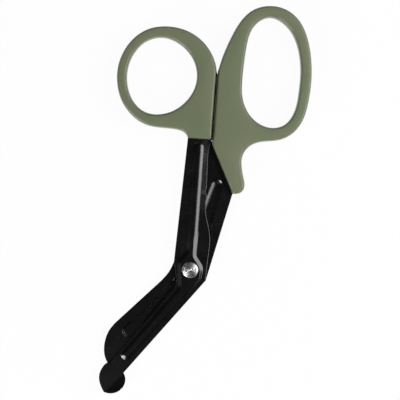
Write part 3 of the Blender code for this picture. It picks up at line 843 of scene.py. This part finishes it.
def add_tab(shell, grid, first, last, outline, level):
    """Grows the tab from the blade's cross-section at the fold line."""
    middle, along, across, half, radius = fold_frame(outline, first, last)
    loops = [np.concatenate([
        grid[:, first], grid[-1, first + 1 : last], grid[::-1, last], grid[0, first + 1 : last][::-1],
    ])]
    widest = math.asin(half / radius)
    swing = np.linspace(widest, TAB_END, TAB_ROWS)[1:]
    seen = radius * (np.cos(swing) - math.cos(widest))
    reach = FOLD_INNER + SHEET
    curved = np.arcsin(np.clip(seen / reach, 0, math.sin(FOLD_ANGLE))) / FOLD_ANGLE * FOLD_ARC
    straight = np.maximum(seen - reach * math.sin(FOLD_ANGLE), 0) / math.cos(FOLD_ANGLE)
    flat = np.stack([radius * np.sin(swing), curved + straight], axis=1)
    inner = left_of(unit(np.gradient(flat, axis=0)))
    inwards, ups = edge_section(*np.zeros((3, 1)))
    edge = flat[:, None] + inner[:, None] * inwards
    edge[..., 1] = np.minimum(edge[..., 1], flat[:, None, 1])
    between = np.linspace(-1, 1, last - first + 1)[1:-1]
    for row in edge:
        left_x, side_s, depth = -row[:, 0], row[:, 1], ups[:, 0]
        x = np.concatenate([left_x, between * row[-1, 0], row[::-1, 0], between[::-1] * row[0, 0]])
        s = np.concatenate([side_s, 0 * between + row[-1, 1], side_s[::-1], 0 * between + row[0, 1]])
        d = np.concatenate([depth, 0 * between + SHEET, depth[::-1], 0 * between])
        out, up = wrap(s, d)
        spots = middle + along * x[:, None] + across * out[:, None]
        loops.append(shell.add(lifted(spots, level(up))))
    shell.quads(np.stack(loops))
    shell.faces.append(loops[-1].tolist())


fold_at = front_starts[4:6]
tab_radius = fold_frame(front_outline, *fold_at)[-1]
print("the tab's edge is part of a circle of", round(tab_radius, 1), "mm radius")

# %% [markdown]
# ## The two blades
#
# One function makes both. The edge comes first, with the tab where there is one, then the rib's flank on
# both faces of the sheet, and last the flat faces between, with the rivet's hole and the key hole that
# the plastic flows through. Both faces of the sheet use the same outline and the same rib, so its
# thickness is the same all through, and what stands out on one side is sunk on the other.

# %% Build a blade
RIVET_HOLE = 2.08
KEY_HOLE = 1.5
BLADE_CREASE = math.radians(40)


def blade(name, side, outline, grind, notch, sag, rib, flat_width, roundness, key, fold=None):
    """A pressed blade as one closed surface, raised upwards where side is 1 and downwards where it is -1.

    At each point of the outline, grind is 1 where the edge is ground and 0 where it is rolled, notch is the
    depth of the teeth, and sag is how far the outer face droops to the edge. At each point of the rib's
    foot, flat_width is how wide the flank of a flat-topped rib is, and roundness is 1 where the rib is half
    round. fold gives the outline's two fold points.
    """
    def level(up):
        return CONTACT + side * (BLADE_GAP / 2 + up)

    shell = Shell("ground", "edge")
    inwards, ups = edge_section(grind, notch, sag)
    away = inset(outline, 1.0) - outline
    if fold is not None:
        first, last = fold
        inwards[:, first + 1 : last] = 0.0
        away[[first, last]] = fold_mitres(outline, first, last)
    bevel = np.zeros(inwards.shape)
    bevel[LOW_ROWS:-1] = grind
    tip = np.zeros(inwards.shape)
    tip[1 : LOW_ROWS + 2] = grind
    grid = shell.add(lifted(outline + away * inwards[..., None], level(ups)), ground=bevel, edge=tip)
    if fold is not None:
        open_side = np.arange(last, last + len(outline) - (last - first) + 1) % len(outline)
        shell.quads(grid[:, open_side], around=False)
        add_tab(shell, grid, first, last, outline, level)
    else:
        shell.quads(grid)

    holes = []
    share = np.concatenate([[0.0], np.linspace(0, 1, FLANK_ROWS), [1.0]])[:, None]
    guard = np.concatenate([[-GUARD], np.zeros(FLANK_ROWS), [GUARD]])[:, None]
    reach, rise = flank(share, flat_width, roundness, bowl=side < 0)
    steps = np.stack([inset(rib, step) for step in reach + guard])
    for base, outer in ((0.0, grid[0]), (SHEET, grid[-1])):
        flanks = shell.add(lifted(steps, level(base + EMBOSS * rise)))
        shell.quads(flanks)
        rivet_ring = shell.add(lifted(circle(RIVET_HOLE), level(base + EMBOSS)))
        key_ring = shell.add(lifted(circle(KEY_HOLE, key, KEY_STEPS), level(base)))
        shell.face(outer, flanks[0], key_ring)
        shell.face(flanks[-1], rivet_ring)
        holes.append((rivet_ring, key_ring))
    for low, high in zip(*holes):
        shell.quads(np.stack([low, high]))
    return shell.piece(name, BLADE_CREASE)


def flat_run(count, start, stop, fade):
    """1 from point start to point stop of a loop of count points, falling to 0 over fade points outside."""
    index = np.arange(count)
    outside = np.maximum(np.maximum(start - index, index - stop), 0)
    return 1 - smooth(outside / fade)


# %% [markdown]
# The front blade's flank is steeper where the rib turns round the rivet, towards the spine, and wider
# elsewhere. Above the bend of its right side the outer face droops towards the edge, which catches the
# light there. Each change has a pair of values, where it starts and how far it takes. The teeth are
# parabolas along the edge, and the grind fades over a few of the outline's points past both ends.

# %% Make the front blade
GRIND_FADE = 5
TOOTH_DEPTH = 0.18
SAG = 0.5
SAG_RISE = (23.0, 6.0)
FRONT_FLANK = 1.9
FRONT_TURN_FLANK = 1.2
TURN_TOP = (1.5, -4.0)
TURN_BOTTOM = (-12.0, 6.0)
TURN_LEFT = (0.0, 2.0)
FRONT_ROUND_RISE = (8.0, 10.0)

points = np.arange(len(front_outline))
front_grind = flat_run(len(points), front_starts[2], front_starts[3], GRIND_FADE)
along_teeth = np.clip(points - front_starts[2], 0, teeth * TOOTH_SAMPLES) / TOOTH_SAMPLES % 1
front_notch = TOOTH_DEPTH * (1 - (2 * along_teeth - 1) ** 2)
front_sag = SAG * (points > front_starts[6]) * rising(front_outline[:, 1], *SAG_RISE)
rib_x, rib_y = front_rib.T
turn_share = rising(rib_y, *TURN_TOP) * rising(rib_y, *TURN_BOTTOM) * rising(rib_x, *TURN_LEFT)
front = blade(
    "front_blade_pressing", 1, front_outline, front_grind, front_notch, front_sag, front_rib,
    FRONT_FLANK + (FRONT_TURN_FLANK - FRONT_FLANK) * turn_share, rising(rib_y, *FRONT_ROUND_RISE),
    FRONT_KEY, fold_at,
)

# %% [markdown]
# The rear blade's grind stops short of both ends of its edge, again by a number of the outline's points.
# Its rib's flank is steepest at the nose, where the two corners of the hollow show as short bright
# dashes.

# %% Make the rear blade
REAR_GRIND_INSET = (8, -2)
REAR_GRIND_FADE = 7
REAR_FLANK = 1.8
REAR_END_FLANK = 0.9
REAR_END_RISE = (-20.0, -5.0)
REAR_ROUND_RISE = (12.0, 10.0)

rear_grind = flat_run(len(rear_outline), *(rear_starts[5:7] + REAR_GRIND_INSET), REAR_GRIND_FADE)
rib_y = rear_rib[:, 1]
rear = blade(
    "rear_blade_pressing", -1, rear_outline, rear_grind, 0 * rear_grind, 0 * rear_grind, rear_rib,
    REAR_FLANK + (REAR_END_FLANK - REAR_FLANK) * rising(rib_y, *REAR_END_RISE),
    rising(rib_y, *REAR_ROUND_RISE), REAR_KEY,
)

# %% [markdown]
# ## The rivet and its washer
#
# The rivet is turned from bright steel and its tail spun over the washer, so both are true bodies of
# revolution: a profile of radius and height, carried round the pivot axis. A screw modifier would do the
# same, but it leaves a seam to merge. The head is a very flat dome with a rounded rim and a dimple at its
# centre.

# %% Turn the rivet
TURN_STEPS = 96
TURNED_CREASE = math.radians(35)
RIVET_RADIUS = 2.0
HEAD_RADIUS = 3.7
HEAD_GAP = 0.2
HEAD_ROUND = 0.45
DOME_DROP = 0.1
DOME_WIDTH = 2.6
DIMPLE_RADIUS = 0.6
DIMPLE_DEPTH = 0.16
DIMPLE_WALL = 0.4
BRIM_OUTSIDE = 0.02
BRIM_INSIDE = 0.05
INNERMOST = 0.05
RIM_ROWS = 10
DOME_ROWS = 14
DIMPLE_ROWS = 7
HEAD_UNDERSIDE = ((HEAD_RADIUS - 0.2, 0.0), (HEAD_RADIUS - 0.05, 0.05), (HEAD_RADIUS, 0.2))
TAIL_RADIUS = 3.1
TAIL_HEIGHT = 0.8
TAIL_FLARE = (0.35, 0.25)
TAIL_ROUND = (0.25, 0.2)
TAIL_ROWS = 8


def turned(name, profile, bore=False):
    """A body turned about the pivot axis: the profile's radius times (cos a, sin a), at its height."""
    profile = np.asarray(profile, float)
    shell = Shell()
    grid = shell.add(lifted(profile[:, :1, None] * circle(1.0, steps=TURN_STEPS), profile[:, 1:]))
    shell.quads(np.concatenate([grid, grid[:1]]) if bore else grid)
    if not bore:
        shell.faces += [grid[0].tolist(), grid[-1].tolist()]
    return shell.piece(name, TURNED_CREASE)


def rounded(radius, height, size, start, stop, steps):
    """Points (radius, height) on an elliptical corner whose outermost radius and far height are given.

    size is its width and height, and start and stop are degrees, from 0 where it points outwards.
    """
    angles = np.radians(np.linspace(start, stop, steps))
    centre = height - size[1] if stop > 0 else height + size[1]
    return list(zip(radius - size[0] + size[0] * np.cos(angles), centre + size[1] * np.sin(angles)))


head_base = CONTACT + BLADE_GAP / 2 + SHEET + EMBOSS + HEAD_GAP
rim_top = HEAD_TOP - DOME_DROP
dome = np.linspace(DIMPLE_RADIUS + DOME_WIDTH, DIMPLE_RADIUS + BRIM_OUTSIDE, DOME_ROWS)
dimple = np.linspace(DIMPLE_RADIUS - BRIM_INSIDE, INNERMOST, DIMPLE_ROWS)
rivet = turned("pivot_rivet_turning", [
    *rounded(TAIL_RADIUS, 0.0, TAIL_FLARE, -90, 0, TAIL_ROWS),
    *rounded(TAIL_RADIUS, TAIL_HEIGHT, TAIL_ROUND, 0, 90, TAIL_ROWS),
    (RIVET_RADIUS, TAIL_HEIGHT), (RIVET_RADIUS, head_base),
    *((radius, head_base + up) for radius, up in HEAD_UNDERSIDE),
    *rounded(HEAD_RADIUS, rim_top, (HEAD_ROUND, HEAD_ROUND), 0, 80, RIM_ROWS),
    *zip(dome, HEAD_TOP - DOME_DROP * ((dome - DIMPLE_RADIUS) / DOME_WIDTH) ** 2),
    *zip(dimple, HEAD_TOP - DIMPLE_DEPTH * smooth((DIMPLE_RADIUS - dimple) / DIMPLE_WALL)),
])

# %% [markdown]
# The washer keeps the spun tail from biting into the blade. It lies under the scissors, out of sight, and
# it is a flat ring with its outer corners broken.

# %% Turn the washer
WASHER_RADIUS = 3.8
WASHER_ROUND = (0.1, 0.1)
WASHER_ROWS = 5

washer_bottom, washer_top = (corner[2] for corner in box_mm("rivet_washer"))
washer = turned("rivet_washer_turning", [
    (RIVET_HOLE, washer_bottom),
    *rounded(WASHER_RADIUS, washer_bottom, WASHER_ROUND, -90, 0, WASHER_ROWS),
    *rounded(WASHER_RADIUS, washer_top, WASHER_ROUND, 0, 90, WASHER_ROWS),
    (RIVET_HOLE, washer_top),
], bore=True)

# %% [markdown]
# ## Writing materials as sums
#
# A finish is mostly arithmetic on patterns: this much of a noise, times that mask, plus a plain value.
# Wiring each Math node by hand hides that, so we wrap a socket in a small class whose operators make the
# nodes. One more method makes any other node, with its settings first and its sockets after.

# %% Wrap shader sockets


class Wire:
    """A socket of a node tree. Its operators make Math nodes, with numbers or other wires on either side."""

    def __init__(self, tree, socket=None):
        self.tree = tree
        self.socket = socket

    def node(self, kind, settings=None, output=0, **sockets):
        """Makes any node: its settings, then its sockets by name, or by number after an underscore.

        Other underscores in a socket's name stand for spaces.
        """
        made = self.tree.nodes.new(kind)
        for name, value in (settings or {}).items():
            setattr(made, name, value)
        for name, value in sockets.items():
            key = int(name[1:]) if name[1:].isdigit() else name.replace("_", " ")
            self.feed(made.inputs[key], value)
        return Wire(self.tree, made.outputs[output])

    def feed(self, target, value):
        """Links a wire to a socket, or sets the socket to a number, colour or vector."""
        if isinstance(value, Wire):
            self.tree.links.new(value.socket, target)
        else:
            target.default_value = value

    def maths(self, operation, first, second=0.0):
        """One Math node."""
        return self.node("ShaderNodeMath", {"operation": operation}, _0=first, _1=second)

    def __add__(self, other):
        return self.maths("ADD", self, other)

    def __sub__(self, other):
        return self.maths("SUBTRACT", self, other)

    def __mul__(self, other):
        return self.maths("MULTIPLY", self, other)

    def __truediv__(self, other):
        return self.maths("DIVIDE", self, other)

    def __pow__(self, other):
        return self.maths("POWER", self, other)

    def __rsub__(self, other):
        return self.maths("SUBTRACT", other, self)

    def __rtruediv__(self, other):
        return self.maths("DIVIDE", other, self)

    __radd__ = __add__
    __rmul__ = __mul__

    def ramp(self, low, high):
        """0 below low, 1 above high, and a straight rise between."""
        return self.node("ShaderNodeMapRange", Value=self, From_Min=low, From_Max=high)

    def blend(self, first, second):
        """The colour this far from the first to the second."""
        return self.node("ShaderNodeMix", {"data_type": "RGBA"}, 2, _0=self, _6=first, _7=second)


# %% [markdown]
# Every finish starts from the same few things: a place on the object, which stays put when the scissors
# open, a value that the mesh carries, soft noise, and fine relief.

# %% Parts of a finish


def material(name):
    """A new material, a wire to start from, and its Principled shader."""
    made = bpy.data.materials.new(name)
    made.use_nodes = True
    tree = made.node_tree
    return made, Wire(tree), tree.nodes["Principled BSDF"]


def carried(at, name):
    """The value of one of the mesh's own attributes."""
    return at.node("ShaderNodeAttribute", {"attribute_name": name}, "Fac")


def noise(at, place, scale, detail=2.0, roughness=0.5):
    """Soft noise with about scale bumps to the metre."""
    return at.node("ShaderNodeTexNoise", Vector=place, Scale=scale, Detail=detail, Roughness=roughness)


def relief(at, height, depth, strength):
    """The surface's normal as a pattern of heights tilts it, the pattern being depth deep."""
    return at.node("ShaderNodeBump", Strength=strength, Distance=depth * MM, Height=height)


# %% [markdown]
# ## Olive plastic
#
# The handles are moulded in a filled plastic, coloured right through. Its surface copies the mould, which
# was spark-eroded to a fine, even grain, so highlights on it are broad and soft. The colour drifts a
# little where the plastic flowed and cooled differently. Hands have polished the rounded edges. The steep
# walls below them are painted darker, a painted shade that stands in for the shade falling on them. Paint
# would need a coat and chips, and this needs neither.

# %% Plastic
OLIVE = (0.153, 0.187, 0.104, 1)
OLIVE_DRIFTED = (0.182, 0.199, 0.117, 1)
FILLER = (0.24, 0.27, 0.175, 1)
# Painted shade: the dark olive that the handles' steep walls are blended towards.
PAINTED_WALL_SHADE = (0.02, 0.025, 0.013, 1)

plastic, at, surface = material("olive_moulding")
place = at.node("ShaderNodeTexCoord", output="Object")
edge = carried(at, "edge")
flow = noise(at, place, 60.0, 3.0).ramp(0.3, 0.7)
grain = noise(at, place, 2600.0, 3.0, 0.6)
speck = grain.ramp(0.35, 0.65)
tone = (0.12 * speck).blend(flow.blend(OLIVE, OLIVE_DRIFTED), FILLER)
# Painted shade: where edge nears 1, on the steep walls, the colour is blended towards a dark olive in place
# of real shade.
at.feed(surface.inputs["Base Color"], (0.4 * edge**3).blend(tone, PAINTED_WALL_SHADE))
at.feed(surface.inputs["Roughness"], 0.36 + 0.1 * speck + 0.04 * flow - 0.16 * edge.ramp(0.05, 0.25))
at.feed(surface.inputs["Normal"], relief(at, grain, 0.04, 0.35))
print(plastic.name, "takes", len(at.tree.nodes), "nodes")

# %% [markdown]
# ## Black coated steel
#
# The blades carry a thin black coating, baked on after grinding. It is satin, with a faint orange peel,
# and it wears first along the cutting edge, where the steel shows. The mesh's own attributes say where
# that is: `ground` marks the bevel and `edge` its outermost line.

# %% Coated steel
BLACK = (0.0010, 0.0010, 0.0010, 1)
BLACK_CLOUDED = (0.0018, 0.0018, 0.0017, 1)
BARE_STEEL = (0.30, 0.30, 0.29, 1)

coated, at, surface = material("black_coating")
place = at.node("ShaderNodeTexCoord", output="Object")
cloud = noise(at, place, 140.0, 4.0).ramp(0.3, 0.7)
peel = noise(at, place, 1500.0, 2.0)
scuff = noise(at, place, 700.0, 5.0, 0.7).ramp(0.55, 0.72)
worn = carried(at, "edge") * noise(at, place, 900.0, 3.0).ramp(0.3, 0.6)
at.feed(surface.inputs["Base Color"], (0.5 * worn).blend(cloud.blend(BLACK, BLACK_CLOUDED), BARE_STEEL))
at.feed(surface.inputs["Roughness"], 0.23 + 0.04 * cloud + 0.07 * scuff - 0.02 * carried(at, "ground"))
at.feed(surface.inputs["Metallic"], 0.6 * worn)
at.feed(surface.inputs["Specular IOR Level"], 0.9)
at.feed(surface.inputs["Normal"], relief(at, peel, 0.01, 0.08))
print(coated.name, "takes", len(at.tree.nodes), "nodes")

# %% [markdown]
# ## Bright turned steel
#
# The rivet's head keeps the fine rings of the lathe. Rings about an axis stretch a highlight across them,
# which gives the two bright wings that such a face shows. The rings are finer than the picture's pixels,
# so instead of a bump we tilt the normal of each ring along the radius, by an amount of its own. More
# rings lean outwards than inwards, since the head is slightly domed, so each lamp shows more on its own
# side.

# %% Bright steel
RING_WIDTH = 0.04
RING_TILT = 0.85
INWARD_SHARE = 0.42
STEEL = (0.66, 0.65, 0.63, 1)
STEEL_CLEAN = (0.76, 0.75, 0.73, 1)

bright, at, surface = material("turned_steel")
place = at.node("ShaderNodeTexCoord", output="Object")
spoke = at.node("ShaderNodeVectorMath", {"operation": "MULTIPLY"}, _0=place, _1=(1, 1, 0))
outwards = at.node("ShaderNodeVectorMath", {"operation": "NORMALIZE"}, _0=spoke)
radius = at.node("ShaderNodeVectorMath", {"operation": "LENGTH"}, "Value", _0=spoke)
ring = at.maths("FLOOR", radius / (RING_WIDTH * MM))
chance = at.node("ShaderNodeTexWhiteNoise", {"noise_dimensions": "1D"}, W=ring)
tilt = (chance - INWARD_SHARE) * RING_TILT
lean = at.node("ShaderNodeVectorMath", {"operation": "SCALE"}, _0=outwards, Scale=tilt)
normal = at.node("ShaderNodeNewGeometry", output="Normal")
leaning = at.node("ShaderNodeVectorMath", {"operation": "ADD"}, _0=normal, _1=lean)
smear = noise(at, place, 900.0, 4.0).ramp(0.3, 0.7)
at.feed(surface.inputs["Base Color"], smear.blend(STEEL, STEEL_CLEAN))
at.feed(surface.inputs["Metallic"], 1.0)
at.feed(surface.inputs["Roughness"], 0.26 + 0.1 * smear)
at.feed(surface.inputs["Normal"], at.node("ShaderNodeVectorMath", {"operation": "NORMALIZE"}, _0=leaning))
print(bright.name, "takes", len(at.tree.nodes), "nodes, for", round(HEAD_RADIUS / RING_WIDTH), "rings")

# %% [markdown]
# ## Dress the frame
#
# Each surface now takes the place of its solid and moves with the same body, so that opening the scissors
# in the frame opens these too.

# %% Put the pieces on the frame
for thing, body, node, look, slot in (
    (rear, "finger_half", "rear_blade", coated, "coated_steel"),
    (finger, "finger_half", "finger_handle", plastic, "handle_plastic"),
    (rivet, "finger_half", "pivot_rivet", bright, "rivet_steel"),
    (washer, "finger_half", "rivet_washer", bright, "rivet_steel"),
    (front, "thumb_half", "front_blade", coated, "coated_steel"),
    (thumb, "thumb_half", "thumb_handle", plastic, "handle_plastic"),
):
    thing.data.materials.append(look)
    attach(thing, body)
    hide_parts(node)
    print(thing.name, "rides on", body, "in place of", node)

# %% [markdown]
# ## Table, light and camera
#
# The scissors lie on a white table, photographed from straight above. The table is white in the picture
# because it gives off light to the camera, not because the lamps are strong: the object is lit at a plain
# level. A little of its own shading is left in, so the scissors' shadow still falls on it.

# %% Table
TABLE_SIZE = 3.0
TABLE_GLOW = 0.96

table_mesh = bpy.data.meshes.new("table")
table_corners = np.array([(-1, -1, 0), (1, -1, 0), (1, 1, 0), (-1, 1, 0)]) * TABLE_SIZE
table_mesh.from_pydata(table_corners.tolist(), [], [(0, 1, 2, 3)])
table = bpy.data.objects.new("table", table_mesh)
bpy.context.scene.collection.objects.link(table)
white, at, surface = material("white_table")
at.feed(surface.inputs["Base Color"], (0.9, 0.9, 0.9, 1))
at.feed(surface.inputs["Roughness"], 0.9)
path = at.tree.nodes.new("ShaderNodeLightPath")
rays = ("Is Camera Ray", "Is Glossy Ray", "Is Transmission Ray")
direct, glossy, through = (Wire(at.tree, path.outputs[name]) for name in rays)
seen = at.maths("MAXIMUM", at.maths("MAXIMUM", direct, glossy), through)
glow = at.node("ShaderNodeEmission", Color=(1, 1, 1, 1), Strength=1.0)
shaded = Wire(at.tree, surface.outputs[0])
shown = at.node("ShaderNodeMixShader", _0=TABLE_GLOW * seen, _1=shaded, _2=glow)
at.feed(at.tree.nodes["Material Output"].inputs["Surface"], shown)
table_mesh.materials.append(white)
print("a table", 2 * TABLE_SIZE, "m wide")

# %% [markdown]
# One broad lamp stands low on the right, and a smaller one low on the left and further off. The black
# flats mirror the dark ceiling and stay black, and every slope towards a lamp shines. Strong lamps
# overhead would have greyed them all. One faint panel high on the left is just enough to tell the flat
# tip from the folded tab, and the room adds a little light from everywhere.

# %% Light
LOOK_AT = np.array((4.44, 31.66, 6.5)) * MM
ROOM_GLOW = 0.025


def lamp(name, azimuth, elevation, distance, size, watts):
    """A rectangular lamp that faces the middle of the picture from a direction given in degrees."""
    a, e = math.radians(azimuth), math.radians(elevation)
    way = Vector((math.cos(e) * math.cos(a), math.cos(e) * math.sin(a), math.sin(e)))
    data = bpy.data.lights.new(name, "AREA")
    data.shape = "RECTANGLE"
    data.size, data.size_y = size
    data.energy = watts
    made = bpy.data.objects.new(name, data)
    made.location = Vector(LOOK_AT.tolist()) + way * distance
    made.rotation_euler = way.to_track_quat("Z", "Y").to_euler()
    made.visible_camera = False
    bpy.context.scene.collection.objects.link(made)
    print(name, "of", watts, "W at", [round(x, 2) for x in made.location], "m")


lamp("right_lamp", azimuth=8, elevation=41, distance=0.5, size=(0.46, 0.40), watts=2.5)
lamp("left_lamp", azimuth=222, elevation=29, distance=0.6, size=(0.34, 0.26), watts=2.7)
lamp("ceiling_panel", azimuth=240, elevation=64, distance=0.8, size=(0.3, 0.3), watts=0.06)

world = bpy.data.worlds.new("room")
world.use_nodes = True
room = world.node_tree.nodes["Background"]
room.inputs["Color"].default_value = (1, 1, 1, 1)
room.inputs["Strength"].default_value = ROOM_GLOW
bpy.context.scene.world = world

# %% [markdown]
# The camera looks straight down through a long lens, as for a catalogue picture, so that the handles,
# which stand a little nearer to it than the tip, show at almost the same scale.

# %% Camera
CAMERA_UP = 755.0 * MM

camera_data = bpy.data.cameras.new("camera")
camera_data.lens = 150
camera_data.sensor_width = 36
camera_data.clip_start = 0.01
camera = bpy.data.objects.new("camera", camera_data)
camera.location = LOOK_AT + np.array((0, 0, CAMERA_UP))
bpy.context.scene.collection.objects.link(camera)
bpy.context.scene.camera = camera
bpy.context.scene.view_settings.view_transform = "Standard"
print("the picture is", round(camera_data.sensor_width / camera_data.lens * CAMERA_UP / MM, 1), "mm wide")
